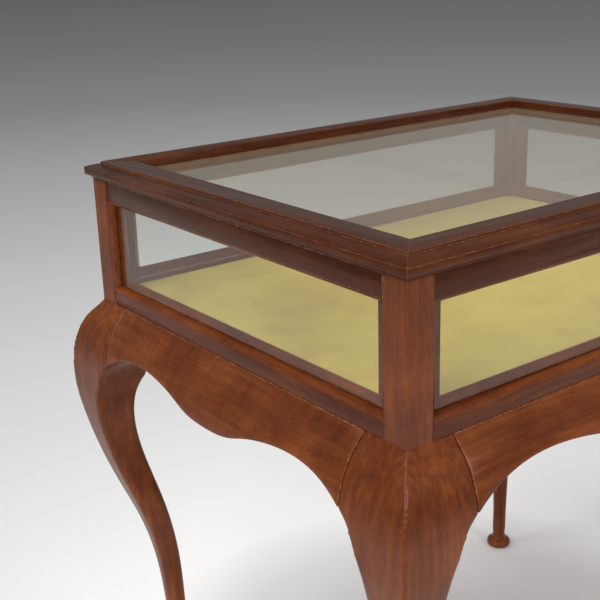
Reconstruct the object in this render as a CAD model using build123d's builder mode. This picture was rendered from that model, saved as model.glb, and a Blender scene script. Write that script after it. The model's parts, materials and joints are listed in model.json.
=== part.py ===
"""Glazed display table: a shallow glass-sided case with a hinged glass lid, on cabriole legs.

Frame: millimetres, +Z up, origin on the floor at the centre of the footprint.
The long front, with the lock, faces -Y, and the lid is hinged along the back.
Each side of the case has its own plane: its x runs inward from the outer face
of the corner posts, its y runs up, and its normal runs along the side. The
distance inward is called "inset" below, and a negative inset stands proud.
"""

import os
from build123d import *

os.makedirs("parts", exist_ok=True)

# ---- driving dimensions -------------------------------------------------------
TABLE_HEIGHT = 750.0
CASE_WIDTH = 714.0
CASE_DEPTH = 538.0
CASE_HEIGHT = 148.2
FIT_GAP = 0.3

# Corner posts and the rails between them
POST = 30.5
RAIL_SETBACK = 0.8
RAIL_INNER = 22.5
TOP_RAIL_HEIGHT = 22.4
BOTTOM_RAIL_HEIGHT = 17.6
TENON_THICKNESS = 8.0
TENON_LENGTH = 12.0
TENON_SHOULDER = 3.0
TENON_INSET = 7.5

# Glazing of the four sides
GLASS_INSET = 8.5
SIDE_GLASS = 3.0
GLASS_PLAY = 0.5
OUTER_BEAD_RISE = 4.7
INNER_BEAD_RISE = 16.0
INNER_BEAD_EDGE = 1.6
TOP_BEAD_RISE = 4.7

# Display floor
LINING_THICKNESS = 1.5
LINING_DROP = 1.0
BOARD_THICKNESS = 9.0
CLEAT_WIDTH = 14.0
CLEAT_HEIGHT = 14.0

# Legs: inset of the outer and inner flanks at shares of the way from the fullest part of
# the knee down to the ankle
LEG_STOCK = 54.5
KNEE_PROUD = 33.8
KNEE_DEPTH = 100.0
KNEE_FLANK = 30.5
ARCH_SPRING = 63.0
LEG_STATIONS = (
    # share of the way down, outer inset, inner inset, share of roundness of the corners
    (0.0, -KNEE_PROUD, KNEE_FLANK, 0.06),
    (0.067, -31.8, 21.0, 0.16),
    (0.145, -25.6, 19.8, 0.24),
    (0.235, -16.0, 25.3, 0.32),
    (0.324, -4.0, 34.5, 0.42),
    (0.425, 11.0, 44.2, 0.54),
    (0.525, 21.5, 50.4, 0.66),
    (0.637, 27.6, 53.6, 0.78),
    (0.760, 31.0, 54.8, 0.88),
    (0.894, 34.8, 56.0, 0.92),
    (1.0, 35.6, 56.4, 0.94),
)
ANKLE_INSET = 46.0
ANKLE_RADIUS = 10.4
PAD_RADIUS = 19.5
PAD_EDGE_HEIGHT = 7.0
PAD_TOP_HEIGHT = 12.5
PAD_SOLE_RADIUS = 16.0
ANKLE_FLARE_HEIGHT = 34.0

# Aprons
APRON_INNER_TOP = 22.5
APRON_INNER_FOOT = 0.0
APRON_DROP = 65.0
FRONT_ARCH_DEPTH = 35.8
FRONT_ARCH_INSET = 151.0
END_ARCH_DEPTH = 42.5
END_ARCH_INSET = 138.0
ARCH_SPRING_SLOPE = 0.72
APRON_TENON_LENGTH = 16.0
APRON_TENON_TOP = 8.0
APRON_TENON_FOOT = 40.0
APRON_TENON_INSET = 3.0

# Lid
LID_THICKNESS = 20.0
LID_GAP = 0.4
LID_OVERHANG = 8.3
LID_FLAT_INSET = 8.3
LID_FLAT_WIDTH = 28.6
LID_STEP = 2.4
LID_STEP_LEAN = 1.0
LID_THUMB_BULGE = 0.7
LID_RIDGE_HEIGHT = 13.0
LID_NOSE_FOOT = 5.8
LID_CORNER_RADIUS = 6.0
CORNER_CUT_CLEAR = 0.06
LID_REBATE_WIDTH = 7.5
LID_GLASS = 3.5
LID_GLASS_DROP = 10.4
LID_GLASS_PLAY = 0.6

# Butt hinges
HINGE_LENGTH = 50.0
HINGE_END = 137.0
HINGE_LEAF = 1.8
HINGE_LEAF_WIDTH = 17.0
KNUCKLE_RADIUS = 3.0
KNUCKLE_COUNT = 5
KNUCKLE_PLAY = 0.2
HINGE_PIN_RADIUS = 1.4
PIN_PLAY = 0.05
PIN_HEAD_RADIUS = 2.3
PIN_HEAD_HEIGHT = 1.0
SCREW_SHANK_RADIUS = 1.4
SCREW_HEAD_RADIUS = 2.7
SCREW_HEAD_HEIGHT = 1.5
SCREW_LENGTH = 12.0
SCREW_PLAY = 0.05
SCREW_SLOT_WIDTH = 0.6
SCREW_SLOT_DEPTH = 0.5
HINGE_SCREW_COUNT = 3
HINGE_SCREW_PITCH = 17.0

# Lock, link plate and key
LOCK_WIDTH = 52.0
LOCK_HEIGHT = 17.0
LOCK_DEPTH = 9.5
LOCK_WALL = 1.5
SELVEDGE_WIDTH = 64.0
SELVEDGE_THICKNESS = 1.5
SELVEDGE_SCREW_REACH = 29.0
LINK_WIDTH = 48.0
LINK_SCREW_REACH = 19.5
STAPLE_REACH_ALONG = 13.0
STAPLE_WIDTH = 2.2
STAPLE_DEPTH = 5.0
STAPLE_DROP = 7.4
STAPLE_WALL = 1.4
STAPLE_EYE = 3.0
BOLT_THICKNESS = 1.6
BOLT_FINGER = 2.2
BOLT_TRAVEL = 5.0
BOLT_POST = 3.0
BOLT_PLATE_TOP = 7.8
LOCK_PLAY = 0.4
KEY_AXIS_DROP = 9.5
KEY_SHANK_RADIUS = 2.0
KEY_BIT_REACH = 5.6
KEY_BIT_THICKNESS = 1.8
KEY_BIT_LENGTH = 1.6
KEY_BOW_PROUD = 20.0
KEY_BOW_RADIUS = 8.0
KEY_BOW_HOLE = 4.6
KEY_BOW_THICKNESS = 2.6
KEYHOLE_PLAY = 0.3
ESCUTCHEON_WIDTH = 11.0
ESCUTCHEON_HEIGHT = 18.0
ESCUTCHEON_THICKNESS = 1.0
ESCUTCHEON_DROP = 1.8

# Small fasteners
BEAD_PIN_RADIUS = 0.8
BEAD_PIN_INSET = 15.5
BEAD_PIN_DEPTH = 4.0
BEAD_PIN_END = 34.0
BEAD_PIN_PITCH = 146.0
BOARD_SCREW_BITE = 6.0

# ---- levels and places that follow from them ---------------------------------
LID_BOTTOM = TABLE_HEIGHT - LID_THICKNESS
CASE_TOP = LID_BOTTOM - LID_GAP
APRON_LINE = CASE_TOP - CASE_HEIGHT
SILL = APRON_LINE + BOTTOM_RAIL_HEIGHT
HEAD = CASE_TOP - TOP_RAIL_HEIGHT
LINING_TOP = SILL - LINING_DROP
BOARD_TOP = LINING_TOP - LINING_THICKNESS
BOARD_BOTTOM = BOARD_TOP - BOARD_THICKNESS
CLEAT_BOTTOM = BOARD_BOTTOM - CLEAT_HEIGHT
GLASS_BACK = GLASS_INSET + SIDE_GLASS
HINGE_AXIS_Y = CASE_DEPTH / 2 + KNUCKLE_RADIUS + LID_GAP
HINGE_AXIS_Z = CASE_TOP + LID_GAP / 2
LID_INNER = LID_FLAT_INSET + LID_FLAT_WIDTH
LID_GLASS_TOP = TABLE_HEIGHT - LID_GLASS_DROP
LID_GLASS_BOTTOM = LID_GLASS_TOP - LID_GLASS
KEY_AXIS_Z = CASE_TOP - KEY_AXIS_DROP
LOCK_OUTER = RAIL_INNER - LOCK_DEPTH
LOCK_MIDDLE = RAIL_INNER - LOCK_DEPTH / 2
KNUCKLE_LENGTH = HINGE_LENGTH / KNUCKLE_COUNT

SIDES = {
    # direction inward from the outer face, length over the posts, distance from the centre
    "front": (Vector(0, 1, 0), CASE_WIDTH, CASE_DEPTH / 2),
    "right": (Vector(-1, 0, 0), CASE_DEPTH, CASE_WIDTH / 2),
    "back": (Vector(0, -1, 0), CASE_WIDTH, CASE_DEPTH / 2),
    "left": (Vector(1, 0, 0), CASE_DEPTH, CASE_WIDTH / 2),
}
CORNERS = {
    "front_left": (-1, -1),
    "front_right": (1, -1),
    "back_left": (-1, 1),
    "back_right": (1, 1),
}


def save(part, name):
    """Label a finished piece and write it to its own file."""
    part.label = name
    export_step(part, f"parts/{name}.step")


def side_plane(side, height=0.0):
    """Plane of a side: x inward, y up, normal along the side, at the middle of its outer face."""
    inward, _, reach = SIDES[side]
    run = inward.cross(Vector(0, 0, 1))
    return Plane(origin=inward * -reach + Vector(0, 0, height), x_dir=inward, z_dir=run)


def front_view(height):
    """Plane of the front face seen from outside: x to the right, y up, normal outward."""
    return Plane(origin=(0, -CASE_DEPTH / 2, height), x_dir=(1, 0, 0), z_dir=(0, -1, 0))


def mitre_ends(length, plane, lean):
    """Cut both ends of the current part at 45 degrees, so that it shortens along lean."""
    for end in (1, -1):
        tip = plane.origin + plane.z_dir * (end * length / 2)
        split(bisect_by=Plane(origin=tip, z_dir=plane.z_dir * end + lean), keep=Keep.BOTTOM)


# ---- rails of the case --------------------------------------------------------
def make_case_rail(side, name, bottom, height):
    """A straight rail with a tenon at each end."""
    plane = side_plane(side)
    length = SIDES[side][1] - 2 * POST
    with BuildPart() as rail:
        with BuildSketch(plane):
            with Locations(((RAIL_SETBACK + RAIL_INNER) / 2, bottom + height / 2)):
                Rectangle(RAIL_INNER - RAIL_SETBACK, height)
        extrude(amount=length / 2, both=True)
        with BuildSketch(plane):
            with Locations((TENON_INSET + TENON_THICKNESS / 2, bottom + height / 2)):
                Rectangle(TENON_THICKNESS, height - 2 * TENON_SHOULDER)
        extrude(amount=length / 2 + TENON_LENGTH, both=True)
        if name.startswith("bottom_rail"):
            cut_pin_holes(side)
        if name == "top_rail_front":
            cut_lock_recess()
        if name == "top_rail_back":
            cut_hinge_recesses(CASE_TOP - HINGE_LEAF, CASE_TOP)
            cut_screw_holes(hinge_screw_spots(), CASE_TOP, -1)
    save(rail.part, name)


def cut_lock_recess():
    """Mortise for the lock and its selvedge, and the keyhole from the front face."""
    plane = side_plane("front")
    with BuildSketch(plane) as lock_pocket:
        with Locations((LOCK_MIDDLE, CASE_TOP - LOCK_HEIGHT / 2)):
            Rectangle(LOCK_DEPTH, LOCK_HEIGHT)
    extrude(lock_pocket.sketch, amount=LOCK_WIDTH / 2, both=True, mode=Mode.SUBTRACT)
    with BuildSketch(plane) as selvedge_pocket:
        with Locations((LOCK_MIDDLE, CASE_TOP - SELVEDGE_THICKNESS / 2)):
            Rectangle(LOCK_DEPTH, SELVEDGE_THICKNESS)
    extrude(selvedge_pocket.sketch, amount=SELVEDGE_WIDTH / 2, both=True, mode=Mode.SUBTRACT)
    with BuildSketch(front_view(KEY_AXIS_Z)) as keyhole:
        keyhole_outline()
    extrude(keyhole.sketch, amount=-LOCK_OUTER, mode=Mode.SUBTRACT)
    cut_screw_holes(selvedge_screw_spots(), CASE_TOP, -1)


def selvedge_screw_spots():
    """X and Y of the two screws through the ends of the lock's top plate."""
    return [(hand * SELVEDGE_SCREW_REACH, LOCK_MIDDLE - CASE_DEPTH / 2) for hand in (1, -1)]


def link_screw_spots():
    """X and Y of the two screws through the link plate."""
    return [(hand * LINK_SCREW_REACH, LOCK_MIDDLE - CASE_DEPTH / 2) for hand in (1, -1)]


def keyhole_outline():
    """Round head with a slot below it, as in the rail and the escutcheon."""
    Circle(KEY_SHANK_RADIUS + KEYHOLE_PLAY)
    slot_height = KEY_BIT_REACH + KEYHOLE_PLAY
    with Locations((0, -slot_height / 2)):
        Rectangle(KEY_BIT_THICKNESS + 2 * KEYHOLE_PLAY, slot_height)


def hinge_centres():
    """Places of the two hinges along the back."""
    reach = CASE_WIDTH / 2 - HINGE_END
    return (-reach, reach)


def hinge_plane(centre):
    """Plane across the hinge axis: x towards the back, y up."""
    return Plane(origin=(centre, HINGE_AXIS_Y, HINGE_AXIS_Z), x_dir=(0, 1, 0), z_dir=(1, 0, 0))


def hinge_screw_spots():
    """X and Y of every hinge screw, the same for the case leaves and the lid leaves."""
    middle = CASE_DEPTH / 2 - HINGE_LEAF_WIDTH / 2
    first = -(HINGE_SCREW_COUNT - 1) / 2
    return [
        (centre + (first + i) * HINGE_SCREW_PITCH, middle)
        for centre in hinge_centres()
        for i in range(HINGE_SCREW_COUNT)
    ]


def cut_hinge_recesses(bottom, top):
    """Shallow housings for the hinge leaves, open at the back."""
    front = CASE_DEPTH / 2 - HINGE_LEAF_WIDTH
    with BuildSketch(Plane.XY.offset(bottom)) as housings:
        for centre in hinge_centres():
            with Locations((centre, (front + HINGE_AXIS_Y) / 2)):
                Rectangle(HINGE_LENGTH, HINGE_AXIS_Y - front)
    extrude(housings.sketch, amount=top - bottom, mode=Mode.SUBTRACT)


def cut_screw_holes(spots, face, direction, length=SCREW_LENGTH):
    """Pilot holes from a level face, in the direction +1 up or -1 down."""
    with BuildSketch(Plane.XY.offset(face)) as pilots:
        with Locations(spots):
            Circle(SCREW_SHANK_RADIUS + SCREW_PLAY)
    extrude(pilots.sketch, amount=direction * length, mode=Mode.SUBTRACT)


def cut_countersinks(spots, face, direction):
    """Conical seats for screw heads, wide at the face and narrowing along the direction."""
    for spot in spots:
        with BuildSketch(Plane.XY.offset(face)) as wide:
            with Locations(spot):
                Circle(SCREW_HEAD_RADIUS + SCREW_PLAY)
        with BuildSketch(Plane.XY.offset(face + direction * SCREW_HEAD_HEIGHT)) as narrow:
            with Locations(spot):
                Circle(SCREW_SHANK_RADIUS + SCREW_PLAY)
        loft([wide.sketch, narrow.sketch], mode=Mode.SUBTRACT)


def bead_pin_spots(side):
    """X and Y of the pins along a side's sill bead."""
    plane = side_plane(side)
    half = SIDES[side][1] / 2 - POST - BEAD_PIN_END
    gaps = round(2 * half / BEAD_PIN_PITCH)
    line = plane.origin + plane.x_dir * BEAD_PIN_INSET
    places = [line + plane.z_dir * (half * (2 * i / gaps - 1)) for i in range(gaps + 1)]
    return [(place.X, place.Y) for place in places]


def cut_pin_holes(side):
    """Holes for the sill bead's pins, through the bead and a little way into the rail."""
    with BuildSketch(Plane.XY.offset(SILL - BEAD_PIN_DEPTH)) as holes:
        with Locations(bead_pin_spots(side)):
            Circle(BEAD_PIN_RADIUS + SCREW_PLAY)
    extrude(holes.sketch, amount=BEAD_PIN_DEPTH + INNER_BEAD_RISE, mode=Mode.SUBTRACT)


for side_name in SIDES:
    make_case_rail(side_name, f"bottom_rail_{side_name}", APRON_LINE, BOTTOM_RAIL_HEIGHT)
    make_case_rail(side_name, f"top_rail_{side_name}", HEAD, TOP_RAIL_HEIGHT)


# ---- glazing of the sides -----------------------------------------------------
def opening_edges(side):
    """Plane on each edge of a side's opening: x inward, y towards the opening, and its length."""
    inward, over_posts, reach = SIDES[side]
    run = inward.cross(Vector(0, 0, 1))
    up = Vector(0, 0, 1)
    half = over_posts / 2 - POST
    middle = (SILL + HEAD) / 2
    tall = HEAD - SILL
    face = inward * -reach
    return {
        "sill": (Plane(origin=face + up * SILL, x_dir=inward, z_dir=run), 2 * half),
        "head": (Plane(origin=face + up * HEAD, x_dir=inward, z_dir=run * -1), 2 * half),
        "jamb_a": (Plane(origin=face + up * middle + run * half, x_dir=inward, z_dir=up), tall),
        "jamb_b": (Plane(origin=face + up * middle - run * half, x_dir=inward, z_dir=up * -1), tall),
    }


def outer_bead_section(plane, _edge):
    """Small ovolo bead in front of the glass."""
    foot = (RAIL_SETBACK, 0.0)
    crown = (GLASS_INSET, OUTER_BEAD_RISE)
    bulge = (RAIL_SETBACK + (GLASS_INSET - RAIL_SETBACK) * 0.42, OUTER_BEAD_RISE * 0.78)
    with BuildSketch(plane) as section:
        with BuildLine():
            ThreePointArc(foot, bulge, crown)
            Polyline(crown, (GLASS_INSET, 0.0), foot)
        make_face()
    return section.sketch


def inner_bead_section(plane, edge):
    """Bead behind the glass: a narrow top edge, then a hollow slope to the inside of the rail."""
    rise = TOP_BEAD_RISE if edge == "head" else INNER_BEAD_RISE
    top = (GLASS_BACK, rise)
    shoulder = (GLASS_BACK + INNER_BEAD_EDGE, rise)
    toe_rise = min(rise * 0.25, OUTER_BEAD_RISE)
    toe = (RAIL_INNER, toe_rise)
    sag = (
        GLASS_BACK + INNER_BEAD_EDGE + (RAIL_INNER - GLASS_BACK - INNER_BEAD_EDGE) * 0.5,
        toe_rise + (rise - toe_rise) * 0.62,
    )
    with BuildSketch(plane) as section:
        with BuildLine():
            ThreePointArc(shoulder, sag, toe)
            Polyline(toe, (RAIL_INNER, 0.0), (GLASS_BACK, 0.0), top, shoulder)
        make_face()
    return section.sketch


def make_outer_beads(side):
    """Four mitred strips planted round a side's opening."""
    strips = []
    for edge, (plane, length) in opening_edges(side).items():
        with BuildPart() as strip:
            extrude(outer_bead_section(plane, edge), amount=length / 2, both=True)
            mitre_ends(length, plane, plane.y_dir)
        strips.append(strip.part.solid())
    save(Compound(children=strips), f"outer_beads_{side}")


def make_inner_beads(side):
    """Sill, head and jamb beads: the sill and jambs are mitred, and the jambs stop under the head."""
    strips = []
    for edge, (plane, length) in opening_edges(side).items():
        with BuildPart() as strip:
            extrude(inner_bead_section(plane, edge), amount=length / 2, both=True)
            if edge == "sill":
                mitre_ends(length, plane, plane.y_dir)
                cut_pin_holes(side)
            if edge.startswith("jamb"):
                foot_end = -1 if edge == "jamb_a" else 1
                foot = plane.origin + plane.z_dir * (foot_end * length / 2)
                mitre = Plane(origin=foot, z_dir=plane.z_dir * foot_end + plane.y_dir)
                split(bisect_by=mitre, keep=Keep.BOTTOM)
                split(bisect_by=Plane.XY.offset(HEAD - TOP_BEAD_RISE), keep=Keep.BOTTOM)
        strips.append(strip.part.solid())
    save(Compound(children=strips), f"inner_beads_{side}")


def make_side_glass(side):
    """One pane, standing on the bottom rail between the beads."""
    _, over_posts, _ = SIDES[side]
    with BuildPart() as pane:
        with BuildSketch(side_plane(side, (SILL + HEAD) / 2)):
            with Locations((GLASS_INSET + SIDE_GLASS / 2, 0)):
                Rectangle(SIDE_GLASS, HEAD - SILL - GLASS_PLAY)
        extrude(amount=over_posts / 2 - POST - GLASS_PLAY, both=True)
    save(pane.part, f"side_glass_{side}")


for side_name in SIDES:
    make_side_glass(side_name)
    make_outer_beads(side_name)
    make_inner_beads(side_name)


# ---- legs and aprons ----------------------------------------------------------
def swell(start=(0.0, 0.0)):
    """Outward swell of knee and apron, from the apron line down to the fullest part of the knee."""
    return Spline(
        start,
        (-0.49 * KNEE_PROUD, -0.20 * KNEE_DEPTH),
        (-0.86 * KNEE_PROUD, -0.50 * KNEE_DEPTH),
        (-KNEE_PROUD, -KNEE_DEPTH),
        tangents=[(-0.75, -1), (0, -1)],
    )


def knee_outline(plane):
    """Face view of post and knee, in inset and depth below the apron line."""
    with BuildSketch(plane) as outline:
        with BuildLine():
            swell()
            Line((-KNEE_PROUD, -KNEE_DEPTH), (KNEE_FLANK, -KNEE_DEPTH))
            Spline(
                (KNEE_FLANK, -KNEE_DEPTH),
                (LEG_STOCK, -ARCH_SPRING),
                tangents=[(0.28, 1), (1, ARCH_SPRING_SLOPE)],
            )
            Polyline(
                (LEG_STOCK, -ARCH_SPRING),
                (LEG_STOCK, 0),
                (POST, 0),
                (POST, CASE_HEIGHT),
                (0, CASE_HEIGHT),
                (0, 0),
            )
        make_face()
    return outline.sketch


def mortise(bottom, top, inset, thickness, inner_face, length):
    """Pockets for the tenons of both rails that meet at the front left corner."""
    x0 = -CASE_WIDTH / 2
    y0 = -CASE_DEPTH / 2
    run_middle = inner_face - length / 2
    across = inset + thickness / 2
    with BuildSketch(Plane.XY.offset(bottom)) as pockets:
        with Locations((x0 + run_middle, y0 + across)):
            Rectangle(length, thickness)
        with Locations((x0 + across, y0 + run_middle)):
            Rectangle(thickness, length)
    extrude(pockets.sketch, amount=top - bottom, mode=Mode.SUBTRACT)


def leg_section(height, middle, width, roundness):
    """Square section of the leg at a height, with rounded corners."""
    with BuildSketch(Plane.XY.offset(height)) as section:
        with Locations((-CASE_WIDTH / 2 + middle, -CASE_DEPTH / 2 + middle)):
            RectangleRounded(width, width, roundness * width / 2)
    return section.sketch


def pad_section(plane):
    """Half section of the pad foot and the flare of the ankle above it."""
    with BuildSketch(plane) as section:
        with BuildLine():
            Line((0, 0), (PAD_SOLE_RADIUS, 0))
            ThreePointArc(
                (PAD_SOLE_RADIUS, 0),
                (PAD_RADIUS, PAD_EDGE_HEIGHT),
                (PAD_SOLE_RADIUS, PAD_TOP_HEIGHT),
            )
            Spline(
                (PAD_SOLE_RADIUS, PAD_TOP_HEIGHT),
                (ANKLE_RADIUS, ANKLE_FLARE_HEIGHT),
                tangents=[(-1, 0.1), (0, 1)],
            )
            Polyline((ANKLE_RADIUS, ANKLE_FLARE_HEIGHT), (0, ANKLE_FLARE_HEIGHT), (0, 0))
        make_face()
    return section.sketch


def build_front_left_leg():
    """Leg and corner post from one piece: knee sawn from two faces, then a round tapering shin."""
    corner = (-CASE_WIDTH / 2, -CASE_DEPTH / 2, APRON_LINE)
    reach = KNEE_PROUD + LEG_STOCK
    from_front = Plane(origin=corner, x_dir=(1, 0, 0), z_dir=(0, -1, 0))
    from_end = Plane(origin=corner, x_dir=(0, 1, 0), z_dir=(1, 0, 0))
    ankle = Vector(-CASE_WIDTH / 2 + ANKLE_INSET, -CASE_DEPTH / 2 + ANKLE_INSET, 0)
    knee_level = APRON_LINE - KNEE_DEPTH
    shin = [
        leg_section(
            knee_level - share * (knee_level - ANKLE_FLARE_HEIGHT),
            (outer + inner) / 2,
            inner - outer,
            roundness,
        )
        for share, outer, inner, roundness in LEG_STATIONS
    ]
    with BuildPart() as leg:
        extrude(knee_outline(from_front), amount=reach, both=True)
        extrude(knee_outline(from_end), amount=reach, both=True, mode=Mode.INTERSECT)
        loft(shin)
        revolve(
            pad_section(Plane(origin=ankle, x_dir=(1, 0, 0), z_dir=(0, -1, 0))),
            axis=Axis(ankle, (0, 0, 1)),
        )
        mortise(APRON_LINE + TENON_SHOULDER, SILL - TENON_SHOULDER,
                TENON_INSET, TENON_THICKNESS, POST, TENON_LENGTH)
        mortise(HEAD + TENON_SHOULDER, CASE_TOP - TENON_SHOULDER,
                TENON_INSET, TENON_THICKNESS, POST, TENON_LENGTH)
        mortise(APRON_LINE - APRON_TENON_FOOT, APRON_LINE - APRON_TENON_TOP,
                APRON_TENON_INSET, TENON_THICKNESS, LEG_STOCK, APRON_TENON_LENGTH)
    return leg.part


def make_legs():
    """The front left leg and its three mirror images."""
    master = build_front_left_leg()
    for corner_name, (sx, sy) in CORNERS.items():
        leg = master
        if sx > 0:
            leg = mirror(leg, about=Plane.YZ)
        if sy > 0:
            leg = mirror(leg, about=Plane.XZ)
        save(leg, f"leg_{corner_name}")


make_legs()


def apron_face(plane, length, arch_inset, arch_depth):
    """Face view of an apron: a drop in the middle between two arches that spring from the legs."""
    spring = length / 2 - LEG_STOCK
    arch = length / 2 - arch_inset
    with BuildSketch(plane) as face:
        with BuildLine():
            for hand in (1, -1):
                Spline(
                    (hand * spring, -ARCH_SPRING),
                    (hand * arch, -arch_depth),
                    (hand * arch / 2, -(arch_depth + APRON_DROP) / 2),
                    (0, -APRON_DROP),
                    tangents=[(-hand, ARCH_SPRING_SLOPE), (-hand, 0)],
                )
            Polyline((spring, -ARCH_SPRING), (spring, 0), (-spring, 0), (-spring, -ARCH_SPRING))
        make_face()
    return face.sketch


def make_apron(side, arch_inset, arch_depth):
    """Swelled apron, shaped to the knees and tenoned into the legs."""
    plane = side_plane(side, APRON_LINE)
    length = SIDES[side][1]
    with BuildPart() as apron:
        with BuildSketch(plane):
            with BuildLine():
                swell()
                Polyline(
                    (-KNEE_PROUD, -KNEE_DEPTH),
                    (APRON_INNER_FOOT, -KNEE_DEPTH),
                    (APRON_INNER_TOP, 0),
                    (0, 0),
                )
            make_face()
        extrude(amount=length / 2 - LEG_STOCK, both=True)
        face_view = Plane(origin=plane.origin, x_dir=plane.z_dir, z_dir=plane.z_dir.cross(Vector(0, 0, 1)))
        extrude(
            apron_face(face_view, length, arch_inset, arch_depth),
            amount=KNEE_PROUD + LEG_STOCK,
            both=True,
            mode=Mode.INTERSECT,
        )
        with BuildSketch(plane):
            with Locations((APRON_TENON_INSET + TENON_THICKNESS / 2,
                            -(APRON_TENON_TOP + APRON_TENON_FOOT) / 2)):
                Rectangle(TENON_THICKNESS, APRON_TENON_FOOT - APRON_TENON_TOP)
        extrude(amount=length / 2 - LEG_STOCK + APRON_TENON_LENGTH, both=True)
    save(apron.part, f"apron_{side}")


make_apron("front", FRONT_ARCH_INSET, FRONT_ARCH_DEPTH)
make_apron("back", FRONT_ARCH_INSET, FRONT_ARCH_DEPTH)
make_apron("left", END_ARCH_INSET, END_ARCH_DEPTH)
make_apron("right", END_ARCH_INSET, END_ARCH_DEPTH)


# ---- display floor ------------------------------------------------------------
def floor_outline():
    """Rectangle inside the rails, notched round the four posts."""
    edge = RAIL_INNER + FIT_GAP
    notch = POST - RAIL_INNER
    Rectangle(CASE_WIDTH - 2 * edge, CASE_DEPTH - 2 * edge)
    spots = [
        (sx * (CASE_WIDTH / 2 - edge), sy * (CASE_DEPTH / 2 - edge))
        for sx, sy in CORNERS.values()
    ]
    with Locations(spots):
        Rectangle(2 * notch, 2 * notch, mode=Mode.SUBTRACT)


def cleat_screw_spots(side):
    """X and Y of the upright screws along a cleat."""
    plane = side_plane(side)
    reach = (SIDES[side][1] / 2 - LEG_STOCK) * 0.6
    line = plane.origin + plane.x_dir * (RAIL_INNER + CLEAT_WIDTH / 2)
    places = [line + plane.z_dir * along for along in (-reach, 0.0, reach)]
    return [(place.X, place.Y) for place in places]


with BuildPart() as base_board:
    with BuildSketch(Plane.XY.offset(BOARD_BOTTOM)):
        floor_outline()
    extrude(amount=BOARD_THICKNESS)
    for side_name in SIDES:
        cut_screw_holes(cleat_screw_spots(side_name), BOARD_BOTTOM, 1, BOARD_SCREW_BITE)
save(base_board.part, "base_board")

with BuildPart() as fabric_lining:
    with BuildSketch(Plane.XY.offset(BOARD_TOP)):
        floor_outline()
    extrude(amount=LINING_THICKNESS)
save(fabric_lining.part, "fabric_lining")


def make_cleat(side):
    """Square strip under the edge of the board, fixed to the inner face of the rail."""
    plane = side_plane(side)
    length = SIDES[side][1] - 2 * (LEG_STOCK + FIT_GAP)
    with BuildPart() as cleat:
        with BuildSketch(plane):
            with Locations((RAIL_INNER + CLEAT_WIDTH / 2, BOARD_BOTTOM - CLEAT_HEIGHT / 2)):
                Rectangle(CLEAT_WIDTH, CLEAT_HEIGHT)
        extrude(amount=length / 2, both=True)
        cut_screw_holes(cleat_screw_spots(side), BOARD_BOTTOM, -1, CLEAT_HEIGHT)
        cut_countersinks(cleat_screw_spots(side), CLEAT_BOTTOM, 1)
    save(cleat.part, f"cleat_{side}")


for side_name in SIDES:
    make_cleat(side_name)


# ---- lid ----------------------------------------------------------------------
def lid_section(plane):
    """Section of a lid member, in inset and height above the underside of the lid."""
    ridge = (-LID_OVERHANG, LID_RIDGE_HEIGHT)
    step_foot = (LID_FLAT_INSET - LID_STEP_LEAN, LID_THICKNESS - LID_STEP)
    nose_foot = (-LID_OVERHANG, LID_NOSE_FOOT)
    glass_seat = LID_THICKNESS - LID_GLASS_DROP
    with BuildSketch(plane) as section:
        with BuildLine():
            ThreePointArc((0, 0), (-LID_OVERHANG * 0.35, LID_NOSE_FOOT * 0.62), nose_foot)
            Line(nose_foot, ridge)
            ThreePointArc(ridge, (0, (ridge[1] + step_foot[1]) / 2 + LID_THUMB_BULGE), step_foot)
            Polyline(
                step_foot,
                (LID_FLAT_INSET, LID_THICKNESS),
                (LID_INNER, LID_THICKNESS),
                (LID_INNER, glass_seat),
                (LID_INNER - LID_REBATE_WIDTH, glass_seat),
                (LID_INNER - LID_REBATE_WIDTH, 0),
                (0, 0),
            )
        make_face()
    return section.sketch


def trim_lid_corners():
    """Round the projecting corners of the lid in plan."""
    with BuildSketch(Plane.XY.offset(LID_BOTTOM)) as footprint:
        RectangleRounded(
            CASE_WIDTH + 2 * (LID_OVERHANG + CORNER_CUT_CLEAR),
            CASE_DEPTH + 2 * (LID_OVERHANG + CORNER_CUT_CLEAR),
            LID_CORNER_RADIUS,
        )
    extrude(footprint.sketch, amount=LID_THICKNESS, mode=Mode.INTERSECT)


def make_lid_member(side):
    """One mitred member of the lid frame."""
    plane = side_plane(side, LID_BOTTOM)
    length = SIDES[side][1]
    with BuildPart() as member:
        extrude(lid_section(plane), amount=length / 2 + LID_OVERHANG, both=True)
        mitre_ends(length, plane, plane.x_dir)
        trim_lid_corners()
        if side == "back":
            cut_hinge_recesses(LID_BOTTOM, LID_BOTTOM + HINGE_LEAF)
            cut_screw_holes(hinge_screw_spots(), LID_BOTTOM, 1)
            cut_knuckle_clearance()
        if side == "front":
            with BuildSketch(plane):
                with Locations((LOCK_MIDDLE, SELVEDGE_THICKNESS / 2)):
                    Rectangle(LOCK_DEPTH, SELVEDGE_THICKNESS)
            extrude(amount=LINK_WIDTH / 2, both=True, mode=Mode.SUBTRACT)
            cut_screw_holes(link_screw_spots(), LID_BOTTOM, 1)
    save(member.part, f"lid_member_{side}")


def cut_knuckle_clearance():
    """Room in the lid moulding for the hinge knuckles."""
    for centre in hinge_centres():
        with BuildSketch(hinge_plane(centre)) as pocket:
            Circle(KNUCKLE_RADIUS + LID_GAP)
        half_length = HINGE_LENGTH / 2 + PIN_HEAD_HEIGHT + LID_GAP
        extrude(pocket.sketch, amount=half_length, both=True, mode=Mode.SUBTRACT)


for side_name in SIDES:
    make_lid_member(side_name)

with BuildPart() as lid_glass:
    with BuildSketch(Plane.XY.offset(LID_GLASS_BOTTOM)):
        edge_inset = LID_INNER - LID_REBATE_WIDTH + LID_GLASS_PLAY
        Rectangle(CASE_WIDTH - 2 * edge_inset, CASE_DEPTH - 2 * edge_inset)
    extrude(amount=LID_GLASS)
save(lid_glass.part, "lid_glass")


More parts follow.
